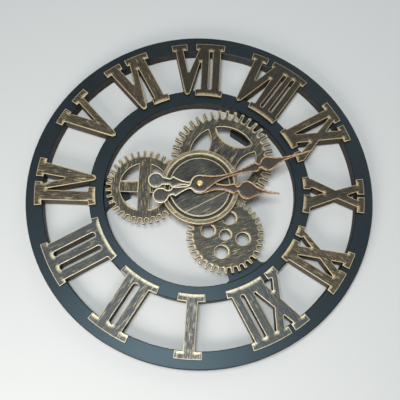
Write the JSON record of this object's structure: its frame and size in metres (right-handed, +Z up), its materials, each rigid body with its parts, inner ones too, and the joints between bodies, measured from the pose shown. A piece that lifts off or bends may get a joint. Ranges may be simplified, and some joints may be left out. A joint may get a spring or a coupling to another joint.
{
  "type": "gear wall clock",
  "caption": "Round open-frame wall clock: roman numerals bridging two rings, fixed show gears, a turned centre disc, spade hands and a battery movement.",
  "frame": {"origin": "hanging point on the wall: where the wall screw's shank bears at the top of the keyhole slot, in the plane of the ring's back", "axes": "+Z up, towards XII; +X to the viewer's right, towards III; the dial faces -Y and the wall lies on +Y"},
  "size_m": [0.3999, 0.0462, 0.4],
  "materials": {
    "ring_paint": "satin blue-black paint on fibreboard",
    "numeral_bronze": "dark bronze paint on fibreboard, dry-brushed pale gold",
    "gear_bronze": "dark bronze paint on fibreboard, dry-brushed pale gold",
    "hand_metal": "dark brown lacquer with a rubbed copper rim",
    "brass": "polished",
    "steel": "zinc plated",
    "black_plastic": "fine texture",
    "white_plastic": "satin",
    "rubber": "matt",
    "copper": "enamelled winding wire",
    "board": "green solder mask",
    "cell": "printed steel can, no lettering"
  },
  "bodies": {
    "frame": {"outer_ring": "ring_paint", "inner_ring": "ring_paint", "numeral_i": "numeral_bronze", "numeral_ii": "numeral_bronze", "numeral_iii": "numeral_bronze", "numeral_iv": "numeral_bronze", "numeral_v": "numeral_bronze", "numeral_vi": "numeral_bronze", "numeral_vii": "numeral_bronze", "numeral_viii": "numeral_bronze", "numeral_ix": "numeral_bronze", "numeral_x": "numeral_bronze", "numeral_xi": "numeral_bronze", "numeral_xii": "numeral_bronze", "numeral_screws": "steel", "gear_top": "gear_bronze", "gear_left": "gear_bronze", "gear_right": "gear_bronze", "gear_spacers": "black_plastic", "gear_screws": "steel", "centre_spacer": "gear_bronze", "centre_disc": "gear_bronze", "disc_screws": "steel", "gasket": "rubber", "movement_case": "black_plastic", "movement_cover": "black_plastic", "bush": "brass", "bush_washer": "brass", "bush_nut": "brass", "rotor": "steel", "stator": "steel", "coil": "copper", "circuit_board": "board", "crystal": "steel", "battery": "cell", "contact_plus": "steel", "contact_minus": "steel", "hanger": "steel", "hanger_screws": "steel"},
    "minute": {"minute_hand": "hand_metal", "cap_nut": "brass", "minute_wheel": "white_plastic"},
    "hour": {"hour_hand": "hand_metal", "hour_wheel": "white_plastic"},
    "motion": {"motion_wheel": "white_plastic", "setting_knob": "white_plastic"},
    "third": {"third_wheel": "white_plastic"},
    "fourth": {"fourth_wheel": "white_plastic"}
  },
  "joints": [
    {"name": "minute_spin", "type": "hinge", "parent": "frame", "child": "minute", "pos_m": [0, -0.0416, -0.193], "axis": [0, 1, 0], "continuous": true},
    {"name": "hour_spin", "type": "hinge", "parent": "frame", "child": "hour", "pos_m": [0, -0.0375, -0.193], "axis": [0, 1, 0], "continuous": true},
    {"name": "motion_spin", "type": "hinge", "parent": "frame", "child": "motion", "pos_m": [-0.00902, -0.0126, -0.18972], "axis": [0, 1, 0], "continuous": true},
    {"name": "third_spin", "type": "hinge", "parent": "frame", "child": "third", "pos_m": [0.00612, -0.0091, -0.18571], "axis": [0, 1, 0], "continuous": true},
    {"name": "fourth_spin", "type": "hinge", "parent": "frame", "child": "fourth", "pos_m": [0.01424, -0.0073, -0.18427], "axis": [0, 1, 0], "continuous": true}
  ],
  "couplings": [
    {"joint": "hour_spin", "follows": "minute_spin", "ratio": 0.083333},
    {"joint": "motion_spin", "follows": "minute_spin", "ratio": -0.33333},
    {"joint": "third_spin", "follows": "minute_spin", "ratio": -6},
    {"joint": "fourth_spin", "follows": "minute_spin", "ratio": 60}
  ]
}
